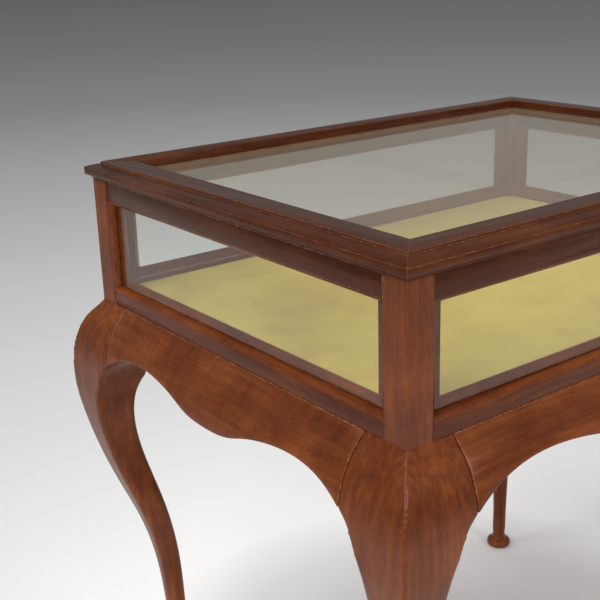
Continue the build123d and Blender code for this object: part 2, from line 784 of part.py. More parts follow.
def make_lid_bead(side):
    """Mitred bead that holds the lid glass up against its seat."""
    rebate = LID_INNER - LID_REBATE_WIDTH
    plane = side_plane(side, LID_BOTTOM)
    length = SIDES[side][1]
    with BuildPart() as bead:
        with BuildSketch(plane):
            with BuildLine():
                height = LID_GLASS_BOTTOM - LID_BOTTOM
                Polyline(
                    (rebate, 0),
                    (rebate, height),
                    (LID_INNER, height),
                    (LID_INNER, height / 2),
                    (LID_INNER - LID_REBATE_WIDTH / 2, 0),
                    (rebate, 0),
                )
            make_face()
        extrude(amount=length / 2 - rebate, both=True)
        mitre_ends(length, plane, plane.x_dir)
    save(bead.part, f"lid_bead_{side}")


for side_name in SIDES:
    make_lid_bead(side_name)


# ---- butt hinges --------------------------------------------------------------
def knuckle_spans(own_first):
    """Start and end of every second knuckle along a hinge, from its middle."""
    first = 0 if own_first else 1
    return [
        (-HINGE_LENGTH / 2 + i * KNUCKLE_LENGTH, -HINGE_LENGTH / 2 + (i + 1) * KNUCKLE_LENGTH)
        for i in range(first, KNUCKLE_COUNT, 2)
    ]


def make_hinge_leaf(name, centre, bottom, own_first):
    """A leaf with its knuckles, its neighbour's knuckles cleared, and countersunk holes."""
    plane = hinge_plane(centre)
    with BuildPart() as leaf:
        with BuildSketch(Plane.XY.offset(bottom)):
            front = CASE_DEPTH / 2 - HINGE_LEAF_WIDTH
            with Locations((centre, (front + HINGE_AXIS_Y) / 2)):
                Rectangle(HINGE_LENGTH, HINGE_AXIS_Y - front)
        extrude(amount=HINGE_LEAF)
        for start, end in knuckle_spans(not own_first):
            with BuildSketch(plane.offset(start - KNUCKLE_PLAY)):
                Circle(KNUCKLE_RADIUS + LID_GAP)
            extrude(amount=end - start + 2 * KNUCKLE_PLAY, mode=Mode.SUBTRACT)
        for start, end in knuckle_spans(own_first):
            with BuildSketch(plane.offset(start)):
                Circle(KNUCKLE_RADIUS)
            extrude(amount=end - start)
        with BuildSketch(plane):
            Circle(HINGE_PIN_RADIUS + PIN_PLAY)
        extrude(amount=HINGE_LENGTH, both=True, mode=Mode.SUBTRACT)
        inner_face, into_wood = (bottom, 1) if bottom > HINGE_AXIS_Z else (bottom + HINGE_LEAF, -1)
        spots = [(x, y) for x, y in hinge_screw_spots() if abs(x - centre) < HINGE_LENGTH / 2]
        cut_screw_holes(spots, inner_face, into_wood)
        cut_countersinks(spots, inner_face, into_wood)
    save(leaf.part, name)


def make_hinge_pin(name, centre):
    """Pin with a small head at each end."""
    plane = hinge_plane(centre)
    half = HINGE_LENGTH / 2
    with BuildPart() as pin:
        with BuildSketch(plane):
            Circle(HINGE_PIN_RADIUS)
        extrude(amount=half + PIN_HEAD_HEIGHT, both=True)
        for end in (half + KNUCKLE_PLAY, -half - KNUCKLE_PLAY - PIN_HEAD_HEIGHT):
            with BuildSketch(plane.offset(end)):
                Circle(PIN_HEAD_RADIUS)
            extrude(amount=PIN_HEAD_HEIGHT)
    save(pin.part, name)


for hand, hinge_x in zip(("left", "right"), hinge_centres()):
    make_hinge_leaf(f"hinge_{hand}_case_leaf", hinge_x, CASE_TOP - HINGE_LEAF, True)
    make_hinge_leaf(f"hinge_{hand}_lid_leaf", hinge_x, LID_BOTTOM, False)
    make_hinge_pin(f"hinge_{hand}_pin", hinge_x)


# ---- screws and pins ----------------------------------------------------------
def make_wood_screw(position, direction, length):
    """Countersunk screw: its head's face at position, its shank along direction."""
    along = Vector(*direction)
    head_plane = Plane(origin=position, z_dir=along)
    with BuildPart() as screw:
        with BuildSketch(head_plane):
            Circle(SCREW_HEAD_RADIUS)
        with BuildSketch(head_plane.offset(SCREW_HEAD_HEIGHT)):
            Circle(SCREW_SHANK_RADIUS)
        loft()
        with BuildSketch(head_plane):
            Circle(SCREW_SHANK_RADIUS)
        extrude(amount=length)
        with BuildSketch(head_plane):
            Rectangle(2 * SCREW_HEAD_RADIUS, SCREW_SLOT_WIDTH)
        extrude(amount=SCREW_SLOT_DEPTH, mode=Mode.SUBTRACT)
    return screw.part.solid()


def save_group(solids, name):
    """Identical small pieces share one file as separate solids."""
    save(Compound(children=solids), name)


def screw_group(name, spots, face, direction, length=SCREW_LENGTH):
    """Identical wood screws with their heads flush with one level face."""
    save_group(
        [make_wood_screw((x, y, face), (0, 0, direction), length - FIT_GAP) for x, y in spots],
        name,
    )


screw_group("screws_case", hinge_screw_spots() + selvedge_screw_spots(), CASE_TOP, -1)
screw_group("screws_lid", hinge_screw_spots() + link_screw_spots(), LID_BOTTOM, 1)
screw_group(
    "screws_board",
    [spot for side in SIDES for spot in cleat_screw_spots(side)],
    CLEAT_BOTTOM,
    1,
    CLEAT_HEIGHT + BOARD_SCREW_BITE,
)


def make_bead_pin(spot):
    """Headless pin, its top at the bead's slope."""
    slope = (INNER_BEAD_RISE - OUTER_BEAD_RISE) / (RAIL_INNER - GLASS_BACK - INNER_BEAD_EDGE)
    top = INNER_BEAD_RISE - slope * (BEAD_PIN_INSET - GLASS_BACK - INNER_BEAD_EDGE)
    with BuildPart() as pin:
        with BuildSketch(Plane.XY.offset(SILL - BEAD_PIN_DEPTH + FIT_GAP)):
            with Locations(spot):
                Circle(BEAD_PIN_RADIUS)
        extrude(amount=BEAD_PIN_DEPTH - FIT_GAP + top)
    return pin.part.solid()


save_group([make_bead_pin(spot) for side in SIDES for spot in bead_pin_spots(side)], "bead_pins")


# ---- lock, link plate and key -------------------------------------------------
lock_plane = side_plane("front")
key_plane = front_view(KEY_AXIS_Z)
lock_bottom = CASE_TOP - LOCK_HEIGHT
eye_middle = LID_BOTTOM - STAPLE_DROP + STAPLE_WALL + STAPLE_EYE / 2

with BuildPart() as lock_case:
    with BuildSketch(lock_plane):
        with Locations((LOCK_MIDDLE, CASE_TOP - LOCK_HEIGHT / 2)):
            Rectangle(LOCK_DEPTH, LOCK_HEIGHT)
    extrude(amount=LOCK_WIDTH / 2, both=True)
    with BuildSketch(lock_plane):
        with Locations((LOCK_MIDDLE, CASE_TOP - SELVEDGE_THICKNESS / 2)):
            Rectangle(LOCK_DEPTH, SELVEDGE_THICKNESS)
    extrude(amount=SELVEDGE_WIDTH / 2, both=True)
    with BuildSketch(lock_plane):
        with Locations((LOCK_MIDDLE, CASE_TOP - LOCK_HEIGHT / 2)):
            Rectangle(LOCK_DEPTH - 2 * LOCK_WALL, LOCK_HEIGHT - 2 * LOCK_WALL)
    extrude(amount=LOCK_WIDTH / 2 - LOCK_WALL, both=True, mode=Mode.SUBTRACT)
    with BuildSketch(Plane.XY.offset(CASE_TOP)):
        with Locations(
            (STAPLE_REACH_ALONG, LOCK_MIDDLE - CASE_DEPTH / 2),
            (-STAPLE_REACH_ALONG, LOCK_MIDDLE - CASE_DEPTH / 2),
        ):
            Rectangle(STAPLE_WIDTH + 2 * LOCK_PLAY, STAPLE_DEPTH + 2 * LOCK_PLAY)
    extrude(amount=-LOCK_WALL, mode=Mode.SUBTRACT)
    with BuildSketch(key_plane):
        keyhole_outline()
    extrude(amount=-(LOCK_OUTER + LOCK_WALL), mode=Mode.SUBTRACT)
    cut_screw_holes(selvedge_screw_spots(), CASE_TOP, -1)
    cut_countersinks(selvedge_screw_spots(), CASE_TOP, -1)
save(lock_case.part, "lock_case")

with BuildPart() as link_plate:
    with BuildSketch(lock_plane):
        with Locations((LOCK_MIDDLE, LID_BOTTOM + SELVEDGE_THICKNESS / 2)):
            Rectangle(LOCK_DEPTH, SELVEDGE_THICKNESS)
    extrude(amount=LINK_WIDTH / 2, both=True)
    for staple_x in (STAPLE_REACH_ALONG, -STAPLE_REACH_ALONG):
        staple_plane = Plane(
            origin=lock_plane.origin + Vector(staple_x, LOCK_MIDDLE, 0), x_dir=(0, 1, 0), z_dir=(1, 0, 0)
        )
        with BuildSketch(staple_plane):
            with Locations((0, LID_BOTTOM - STAPLE_DROP / 2)):
                Rectangle(STAPLE_DEPTH, STAPLE_DROP)
            with Locations((0, eye_middle)):
                Rectangle(STAPLE_EYE, STAPLE_EYE, mode=Mode.SUBTRACT)
        extrude(amount=STAPLE_WIDTH / 2, both=True)
    cut_screw_holes(link_screw_spots(), LID_BOTTOM, 1)
    cut_countersinks(link_screw_spots(), LID_BOTTOM, 1)
save(link_plate.part, "link_plate")

with BuildPart() as lock_bolt:
    bolt_floor = lock_bottom + LOCK_WALL + LOCK_PLAY
    finger_tips = [hand * STAPLE_REACH_ALONG - STAPLE_WIDTH / 2 - LOCK_PLAY for hand in (-1, 1)]
    post_starts = [tip - BOLT_TRAVEL - BOLT_POST - STAPLE_WIDTH / 2 for tip in finger_tips]
    with BuildSketch(Plane(origin=lock_plane.origin + Vector(0, LOCK_MIDDLE, 0), x_dir=(1, 0, 0), z_dir=(0, -1, 0))):
        plate_right = post_starts[1] + BOLT_POST
        with Locations(((post_starts[0] + plate_right) / 2, bolt_floor + BOLT_PLATE_TOP / 2)):
            Rectangle(plate_right - post_starts[0], BOLT_PLATE_TOP)
        for post_start, tip in zip(post_starts, finger_tips):
            post_top = eye_middle + BOLT_FINGER / 2
            with Locations((post_start + BOLT_POST / 2, (bolt_floor + post_top) / 2)):
                Rectangle(BOLT_POST, post_top - bolt_floor)
            with Locations(((post_start + tip) / 2, eye_middle)):
                Rectangle(tip - post_start, BOLT_FINGER)
    extrude(amount=BOLT_THICKNESS / 2, both=True)
save(lock_bolt.part, "lock_bolt")

with BuildPart() as escutcheon:
    with BuildSketch(key_plane.offset(-RAIL_SETBACK)):
        with Locations((0, -ESCUTCHEON_DROP)):
            Ellipse(ESCUTCHEON_WIDTH / 2, ESCUTCHEON_HEIGHT / 2)
    extrude(amount=ESCUTCHEON_THICKNESS)
    with BuildSketch(key_plane.offset(-RAIL_SETBACK)):
        keyhole_outline()
    extrude(amount=ESCUTCHEON_THICKNESS, mode=Mode.SUBTRACT)
save(escutcheon.part, "escutcheon")

with BuildPart() as key:
    key_tip = LOCK_OUTER + LOCK_WALL + LOCK_PLAY + KEY_BIT_LENGTH
    with BuildSketch(key_plane.offset(-key_tip)):
        Circle(KEY_SHANK_RADIUS)
    extrude(amount=key_tip + KEY_BOW_PROUD - KEY_BOW_HOLE)
    with BuildSketch(key_plane.offset(-key_tip)):
        with Locations((0, -KEY_BIT_REACH / 2)):
            Rectangle(KEY_BIT_THICKNESS, KEY_BIT_REACH)
    extrude(amount=KEY_BIT_LENGTH)
    bow_plane = Plane(origin=key_plane.origin + Vector(0, -KEY_BOW_PROUD, 0), x_dir=(0, 1, 0), z_dir=(1, 0, 0))
    with BuildSketch(bow_plane):
        Circle(KEY_BOW_RADIUS)
        Circle(KEY_BOW_HOLE, mode=Mode.SUBTRACT)
    extrude(amount=KEY_BOW_THICKNESS / 2, both=True)
save(key.part, "key")
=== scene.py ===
"""Looks of a glazed display table: polished mahogany, old clear glass and green-gold cloth.

Laid out as a Blender add-on. Run as a script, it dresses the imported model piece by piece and
builds the studio round it.
"""

import json
import math

import bpy
from mathutils import Matrix, Vector

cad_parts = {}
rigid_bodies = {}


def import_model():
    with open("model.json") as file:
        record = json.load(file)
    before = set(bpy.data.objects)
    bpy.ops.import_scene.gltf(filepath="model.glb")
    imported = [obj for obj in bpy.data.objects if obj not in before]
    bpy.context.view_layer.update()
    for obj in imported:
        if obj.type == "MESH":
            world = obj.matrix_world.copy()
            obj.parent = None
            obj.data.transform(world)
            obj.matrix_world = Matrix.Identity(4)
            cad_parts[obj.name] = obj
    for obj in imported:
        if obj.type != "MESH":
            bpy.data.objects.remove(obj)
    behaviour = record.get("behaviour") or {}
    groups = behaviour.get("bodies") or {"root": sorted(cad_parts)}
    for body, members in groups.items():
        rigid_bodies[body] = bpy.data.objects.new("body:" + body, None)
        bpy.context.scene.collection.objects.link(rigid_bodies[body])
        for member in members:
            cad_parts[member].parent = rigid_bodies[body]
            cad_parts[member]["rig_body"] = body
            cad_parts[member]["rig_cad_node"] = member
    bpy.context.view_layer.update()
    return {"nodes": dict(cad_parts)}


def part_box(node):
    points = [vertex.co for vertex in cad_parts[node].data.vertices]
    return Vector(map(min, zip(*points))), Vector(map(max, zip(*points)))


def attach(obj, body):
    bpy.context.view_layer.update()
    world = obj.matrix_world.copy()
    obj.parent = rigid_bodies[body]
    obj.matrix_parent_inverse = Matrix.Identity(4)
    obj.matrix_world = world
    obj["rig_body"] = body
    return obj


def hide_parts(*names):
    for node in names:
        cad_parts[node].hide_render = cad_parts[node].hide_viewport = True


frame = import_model()

bl_info = {
    "name": "Glazed display table",
    "version": (1, 0, 0),
    "blender": (4, 5, 0),
    "location": "View3D > Sidebar > Table",
    "description": "Dresses and lights a mahogany display table with its glass and cloth",
    "category": "Object",
}

MM = 0.001
SIDES = ("front", "right", "back", "left")
CORNERS = ("front_left", "front_right", "back_left", "back_right")

MERGE_DISTANCE = 0.002 * MM
FLAT_ANGLE = math.radians(0.5)
POLISH_ROUGHNESS = (0.24, 0.36)
RIPPLE_FIELD = (11.0, 38.0, 38.0)
FLECK_FIELD = (60.0, 2.5, 2.5)
PATINA_SIZE = 6.0 * MM
WAVES_TO_BANDS = 0.314  # a wave texture of this scale has one band in each unit of length
CLOTH_CELLS = (80, 60)
SOFTENING_ROUNDS = 5
SOFT_LINE_DROP = 4 * MM

FLOOR_RADIUS = 40.0
CAMERA_PLACE = (-0.8983, -0.8535, 0.9842)
CAMERA_TURN = (36.71, 18.62, 1.79)  # yaw, pitch and roll in degrees
SENSOR_WIDTH = 36.0
VIEW_LIMIT = 200.0
SUN_DIRECTION = (0.78, 0.08, -1.0)
SUN_SPREAD = 50
SOFT_BOXES = {
    "left_box": ((-2.6, -1.2, 1.9), (-0.3, -0.2, 0.6)),
    "front_box": ((0.3, -2.8, 1.9), (-0.2, -0.2, 0.6)),
}
SOFT_BOX_SIZE = (1.0, 1.4)
SOFT_BOX_POWER = 26


# ---- small helpers --------------------------------------------------------------
def colour(hex_code):
    """Linear RGBA from an sRGB hex value such as "#6d3e26"."""
    channels = [int(hex_code[i:i + 2], 16) / 255 for i in (1, 3, 5)]
    linear = [c / 12.92 if c <= 0.04045 else ((c + 0.055) / 1.055) ** 2.4 for c in channels]
    return (*linear, 1.0)


def add_node(material, kind, links=None, inputs=None, **settings):
    """Adds a node: settings are its own properties, inputs are values, links come from sockets."""
    node = material.node_tree.nodes.new(kind)
    for key, value in settings.items():
        setattr(node, key, value)
    for key, value in (inputs or {}).items():
        node.inputs[key].default_value = value
    for key, socket in (links or {}).items():
        material.node_tree.links.new(socket, node.inputs[key])
    return node


def set_ramp(ramp_node, stops):
    """Gives a colour ramp its stops, as pairs of place and RGBA colour."""
    elements = ramp_node.color_ramp.elements
    while len(elements) > 1:
        elements.remove(elements[-1])
    elements[0].position, elements[0].color = stops[0]
    for place, rgba in stops[1:]:
        elements.new(place).color = rgba


def empty_material(name):
    """A node material with only its output, and that output."""
    material = bpy.data.materials.new(name)
    material.use_nodes = True
    material.node_tree.nodes.clear()
    return material, add_node(material, "ShaderNodeOutputMaterial")


def link(material, source, target):
    """Joins two sockets."""
    material.node_tree.links.new(source, target)


def grey(value):
    """Opaque grey of a linear value, for masks."""
    return (value, value, value, 1.0)


# ---- materials ------------------------------------------------------------------
GRAIN_TURNS = {
    "x": (0.0, 0.0, 0.0),
    "y": (0.0, 0.0, math.radians(90)),
    "z": (0.0, math.radians(90), 0.0),
}


def make_mahogany(name, axis, wood, shift=(0, 0, 0), tone=1.0, figure=0.5, worn_and_highlit=False):
    """Cuban mahogany, planed and French polished long ago.

    Real pores are 0.2 mm wide and 5 mm long; they are drawn about 0.55 mm by 16 mm to
    show. The eye sees fine dark flecks along the grain, dark and orange bands, and a
    thin shine over a slightly uneven surface. The arrises are paler in broken streaks:
    partly wood rubbed through by wear, partly a painted highlight along the edges.
    """
    material, output = empty_material(name)
    place = add_node(material, "ShaderNodeTexCoord")
    grain = add_node(material, "ShaderNodeMapping", links={"Vector": place.outputs["Object"]},
                     inputs={"Rotation": GRAIN_TURNS[axis], "Location": [s * MM for s in shift]})
    drift = add_node(material, "ShaderNodeTexNoise", links={"Vector": grain.outputs[0]},
                     inputs={"Scale": 1 / wood.drift, "Detail": 2.0})
    pushed = add_node(material, "ShaderNodeVectorMath", operation="MULTIPLY_ADD",
                      links={0: drift.outputs["Color"], 2: grain.outputs[0]},
                      inputs={1: (0.0, wood.drift_reach, wood.drift_reach)})

    def streaks(width, run, detail, roughness):
        stretched = add_node(
            material, "ShaderNodeMapping", links={"Vector": pushed.outputs[0]},
            inputs={"Scale": (1 / run, 1 / width, 1 / width)})
        return add_node(material, "ShaderNodeTexNoise", links={"Vector": stretched.outputs[0]},
                        inputs={"Scale": 1.0, "Detail": detail, "Roughness": roughness})

    bands = streaks(wood.band_width, wood.band_length, 3.0, 0.5)
    pores = streaks(wood.pore_width, wood.pore_length, 2.0, 0.6)
    clouds = add_node(material, "ShaderNodeTexNoise", links={"Vector": grain.outputs[0]},
                      inputs={"Scale": 1 / wood.cloud, "Detail": 3.0, "Roughness": 0.55})
    curl_field = add_node(material, "ShaderNodeMapping", links={"Vector": pushed.outputs[0]},
                          inputs={"Scale": [1 / (s * MM) for s in RIPPLE_FIELD]})
    curl = add_node(material, "ShaderNodeTexNoise", links={"Vector": curl_field.outputs[0]},
                    inputs={"Scale": 1.0, "Detail": 2.0})
    figured = add_node(material, "ShaderNodeMix", data_type="FLOAT",
                       links={"A": bands.outputs["Fac"], "B": curl.outputs["Fac"]},
                       inputs={"Factor": 0.45 * figure})
    mixed = add_node(material, "ShaderNodeMix", data_type="FLOAT",
                     links={"A": figured.outputs[0], "B": clouds.outputs["Fac"]},
                     inputs={"Factor": 0.45})
    tones = add_node(material, "ShaderNodeValToRGB", links={"Fac": mixed.outputs[0]})
    set_ramp(tones, [(0.28, tuple(wood.dark)), (0.50, tuple(wood.middle)),
                     (0.72, tuple(wood.light))])
    pore_mask = add_node(material, "ShaderNodeMapRange", links={"Value": pores.outputs["Fac"]},
                         inputs={"From Min": 0.36, "From Max": 0.56,
                                 "To Min": 0.74, "To Max": 1.05})
    with_pores = add_node(material, "ShaderNodeMix", data_type="RGBA", blend_type="MULTIPLY",
                          links={"A": tones.outputs[0], "B": pore_mask.outputs[0]},
                          inputs={"Factor": 1.0})
    body = add_node(material, "ShaderNodeMix", data_type="RGBA", blend_type="MULTIPLY",
                    links={"A": with_pores.outputs["Result"]},
                    inputs={"Factor": 1.0, "B": grey(tone)})
    surface = body.outputs["Result"]
    # Pale arris colour broken by noise: partly real wear, partly a painted highlight on the
    # arrises.
    if worn_and_highlit:
        rub_and_highlight_noise = add_node(material, "ShaderNodeTexNoise", links={"Vector": grain.outputs[0]},
                         inputs={"Scale": 1 / wood.rub_and_highlight_size, "Detail": 4.0, "Roughness": 0.65})
        rub_and_highlight_mask = add_node(material, "ShaderNodeMapRange", links={"Value": rub_and_highlight_noise.outputs["Fac"]},
                             inputs={"From Min": 0.50, "From Max": 0.60,
                                     "To Min": 0.18, "To Max": 0.85})
        rubbed_and_highlit = add_node(material, "ShaderNodeMix", data_type="RGBA",
                          links={"A": surface, "Factor": rub_and_highlight_mask.outputs[0]},
                          inputs={"B": tuple(wood.rubbed_and_highlit)})
        surface = rubbed_and_highlit.outputs["Result"]
    roughness = add_node(material, "ShaderNodeMapRange", links={"Value": clouds.outputs["Fac"]},
                         inputs={"From Min": 0.3, "From Max": 0.7,
                                 "To Min": POLISH_ROUGHNESS[0], "To Max": POLISH_ROUGHNESS[1]})
    bump = add_node(material, "ShaderNodeBump", links={"Height": pores.outputs["Fac"]},
                    inputs={"Strength": 0.12, "Distance": 0.15 * MM})
    shader = add_node(material, "ShaderNodeBsdfPrincipled",
                      links={"Base Color": surface, "Roughness": roughness.outputs[0],
                             "Normal": bump.outputs[0]},
                      inputs={"IOR": 1.45, "Specular IOR Level": 0.22, "Coat Weight": 0.1,
                                    "Coat Roughness": 0.08})
    link(material, shader.outputs[0], output.inputs["Surface"])
    return material


def make_old_glass(name, tint, dust_share, dust_tone):
    """Old drawn sheet glass, clear with a faint green edge and a mirror-smooth skin.

    A film of dust lies on it. Light that falls on what is inside passes straight through.
    """
    material, output = empty_material(name)
    pane = add_node(material, "ShaderNodeBsdfPrincipled",
                    inputs={"Base Color": tint, "Roughness": 0.0, "IOR": 1.5,
                            "Transmission Weight": 1.0})
    dust = add_node(material, "ShaderNodeBsdfDiffuse", inputs={"Color": dust_tone})
    dusty = add_node(material, "ShaderNodeMixShader", inputs={0: dust_share},
                     links={1: pane.outputs[0], 2: dust.outputs[0]})
    passing = add_node(material, "ShaderNodeBsdfTransparent", inputs={"Color": tint})
    ray = add_node(material, "ShaderNodeLightPath")
    unlit = add_node(material, "ShaderNodeMath", operation="MAXIMUM",
                     links={0: ray.outputs["Is Shadow Ray"], 1: ray.outputs["Is Diffuse Ray"]})
    both = add_node(material, "ShaderNodeMixShader",
                    links={0: unlit.outputs[0], 1: dusty.outputs[0], 2: passing.outputs[0]})
    link(material, both.outputs[0], output.inputs["Surface"])
    return material


def make_woven_cloth(name, cloth):
    """Cotton rep, plain woven from green-gold yarn and faded unevenly.

    The yarns are about 0.5 mm apart; they are drawn at 0.9 mm to show. The eye sees a
    matt, slightly hairy surface with pale and dull clouds.
    """
    material, output = empty_material(name)
    place = add_node(material, "ShaderNodeTexCoord")
    fade = add_node(material, "ShaderNodeTexNoise", links={"Vector": place.outputs["Object"]},
                    inputs={"Scale": 1 / cloth.fade, "Detail": 4.0, "Roughness": 0.6})
    tones = add_node(material, "ShaderNodeValToRGB", links={"Fac": fade.outputs["Fac"]})
    set_ramp(tones, [(0.32, tuple(cloth.shade)), (0.5, tuple(cloth.body)),
                     (0.7, tuple(cloth.faded))])
    yarns = []
    for direction in ("X", "Y"):
        yarns.append(add_node(
            material, "ShaderNodeTexWave", wave_type="BANDS", bands_direction=direction,
            links={"Vector": place.outputs["Object"]},
            inputs={"Scale": WAVES_TO_BANDS / cloth.yarn, "Distortion": 1.5, "Detail": 1.0,
                    "Detail Scale": 2.0}))
    weave = add_node(material, "ShaderNodeMath", operation="MULTIPLY",
                     links={0: yarns[0].outputs["Fac"], 1: yarns[1].outputs["Fac"]})
    weave_tone = add_node(material, "ShaderNodeMapRange", links={"Value": weave.outputs[0]},
                          inputs={"To Min": 0.93, "To Max": 1.06})
    woven = add_node(material, "ShaderNodeMix", data_type="RGBA", blend_type="MULTIPLY",
                     links={"A": tones.outputs[0], "B": weave_tone.outputs[0]},
                     inputs={"Factor": 1.0})
    bump = add_node(material, "ShaderNodeBump", links={"Height": weave.outputs[0]},
                    inputs={"Strength": 0.3, "Distance": 0.2 * MM})
    shader = add_node(material, "ShaderNodeBsdfPrincipled",
                      links={"Base Color": woven.outputs["Result"], "Normal": bump.outputs[0]},
                      inputs={"Roughness": 0.9, "Sheen Weight": 0.15, "Sheen Roughness": 0.5})
    link(material, shader.outputs[0], output.inputs["Surface"])
    return material


def make_bare_beech(name, wood):
    """Beech, sawn and left bare: pale, dry and matt, with short brown flecks along the grain."""
    material, output = empty_material(name)
    place = add_node(material, "ShaderNodeTexCoord")
    stretched = add_node(material, "ShaderNodeMapping", links={"Vector": place.outputs["Object"]},
                         inputs={"Scale": [1 / (s * MM) for s in FLECK_FIELD]})
    flecks = add_node(material, "ShaderNodeTexNoise", links={"Vector": stretched.outputs[0]},
                      inputs={"Scale": 1.0, "Detail": 4.0})
    tones = add_node(material, "ShaderNodeValToRGB", links={"Fac": flecks.outputs["Fac"]})
    set_ramp(tones, [(0.35, tuple(wood.bare_dark)), (0.65, tuple(wood.bare_light))])
    shader = add_node(material, "ShaderNodeBsdfPrincipled",
                      links={"Base Color": tones.outputs[0]}, inputs={"Roughness": 0.8})
    link(material, shader.outputs[0], output.inputs["Surface"])
    return material


def make_metal(name, base, dulled, roughness):
    """Cast and filed metal, handled for years: dull brown patches over a soft shine."""
    material, output = empty_material(name)
    place = add_node(material, "ShaderNodeTexCoord")
    patches = add_node(material, "ShaderNodeTexNoise", links={"Vector": place.outputs["Object"]},
                       inputs={"Scale": 1 / PATINA_SIZE, "Detail": 5.0, "Roughness": 0.65})
    tones = add_node(material, "ShaderNodeValToRGB", links={"Fac": patches.outputs["Fac"]})
    set_ramp(tones, [(0.38, dulled), (0.62, base)])
    dull = add_node(material, "ShaderNodeMapRange", links={"Value": patches.outputs["Fac"]},
                    inputs={"From Min": 0.35, "From Max": 0.65,
                            "To Min": roughness + 0.2, "To Max": roughness})
    shader = add_node(material, "ShaderNodeBsdfPrincipled",
                      links={"Base Color": tones.outputs[0], "Roughness": dull.outputs[0]},
                      inputs={"Metallic": 1.0})
    link(material, shader.outputs[0], output.inputs["Surface"])
    return material


def wood_pair(name, axis, **looks):
    """A polished material and its twin for the arrises, pale with wear and a painted highlight,
    made once and then reused.
    """
    wood = bpy.context.scene.table_wood
    pair = []
    for suffix, worn_and_highlit in (("", False), ("_worn", True)):
        full = f"{name}_{axis}{suffix}"
        pair.append(bpy.data.materials.get(full)
                    or make_mahogany(full, axis, wood, worn_and_highlit=worn_and_highlit, **looks))
    return pair


# ---- modelling helpers ----------------------------------------------------------
def deselect_all():
    if bpy.context.object and bpy.context.object.mode != "OBJECT":
        bpy.ops.object.mode_set(mode="OBJECT")
    bpy.ops.object.select_all(action="DESELECT")


def activate(piece):
    deselect_all()
    piece.select_set(True)
    bpy.context.view_layer.objects.active = piece


def copy_of(node, name):
    """A merged copy of a solid, its flat faces whole again, ready to be shaped."""
    activate(frame["nodes"][node])
    bpy.ops.object.duplicate()
    piece = bpy.context.object
    piece.name = name
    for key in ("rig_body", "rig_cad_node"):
        if key in piece:
            del piece[key]
    piece.parent = None
    piece.matrix_world = Matrix.Identity(4)
    bpy.ops.object.mode_set(mode="EDIT")
    bpy.ops.mesh.select_all(action="SELECT")
    bpy.ops.mesh.remove_doubles(threshold=MERGE_DISTANCE)
    bpy.ops.mesh.customdata_custom_splitnormals_clear()
    bpy.ops.mesh.dissolve_limited(angle_limit=FLAT_ANGLE, delimit=set())
    bpy.ops.object.mode_set(mode="OBJECT")
    return piece


def add_modifier(piece, kind, **settings):
    """Adds a modifier with its settings and applies it."""
    activate(piece)
    modifier = piece.modifiers.new(kind.title(), kind)
    for key, value in settings.items():
        setattr(modifier, key, value)
    bpy.ops.object.modifier_apply(modifier=modifier.name)


def round_arrises(piece, width, angle):
    """Rubs down the sharp edges; the new faces take the piece's second material, pale with wear and
    a painted highlight.
    """
    add_modifier(piece, "BEVEL", width=width, segments=2, limit_method="ANGLE",
                 angle_limit=math.radians(angle), material=1, use_clamp_overlap=True,
                 harden_normals=False)


def soften_below(piece, skin, height):
    """Gives a carved piece an even skin and rubs it smooth below a height."""
    add_modifier(piece, "REMESH", mode="VOXEL", voxel_size=skin)
    below = piece.vertex_groups.new(name="below")
    below.add([v.index for v in piece.data.vertices if v.co.z < height], 1.0, "REPLACE")
    add_modifier(piece, "SMOOTH", factor=0.5, iterations=SOFTENING_ROUNDS, vertex_group="below")
    shade_smooth(piece, 50)


def shade_smooth(piece, angle=30):
    activate(piece)
    bpy.ops.object.shade_smooth_by_angle(angle=math.radians(angle))


def give_materials(piece, materials):
    """Puts these materials on a piece, with every face on the first."""
    piece.data.materials.clear()
    for material in materials:
        piece.data.materials.append(material)
    for polygon in piece.data.polygons:
        polygon.material_index = 0


def stand_for(piece, node, body):
    """Lets a piece ride on a body in place of a solid."""
    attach(piece, body)
    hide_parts(node)


def shaped_copy(node, materials, body, arris, angle=34):
    """A solid's copy with rounded arrises, pale with wear and a painted highlight, in place of the
    solid.
    """
    piece = copy_of(node, f"{node}_wood")
    give_materials(piece, materials)
    round_arrises(piece, arris, angle)
    shade_smooth(piece)
    stand_for(piece, node, body)


def paint_node(node, material):
    """Gives a solid that keeps its shape its finish."""
    data = frame["nodes"][node].data
    data.materials.clear()
    data.materials.append(material)


def run_axis(side):
    """Grain axis of a straight piece along a side."""
    return "x" if side in ("front", "back") else "y"


# ---- settings -------------------------------------------------------------------
def tint(label, hex_code):
    """A colour for the sidebar, given as an sRGB hex value."""
    return bpy.props.FloatVectorProperty(
        name=label, description=f"{label} as linear colour", subtype="COLOR", size=4,
        min=0.0, max=1.0, default=colour(hex_code))


def length(label, millimetres, text):
    """A size for the sidebar, given in millimetres and kept in metres."""
    return bpy.props.FloatProperty(name=label, description=text, default=millimetres * MM,
                                   min=0.01 * MM, unit="LENGTH", precision=5)


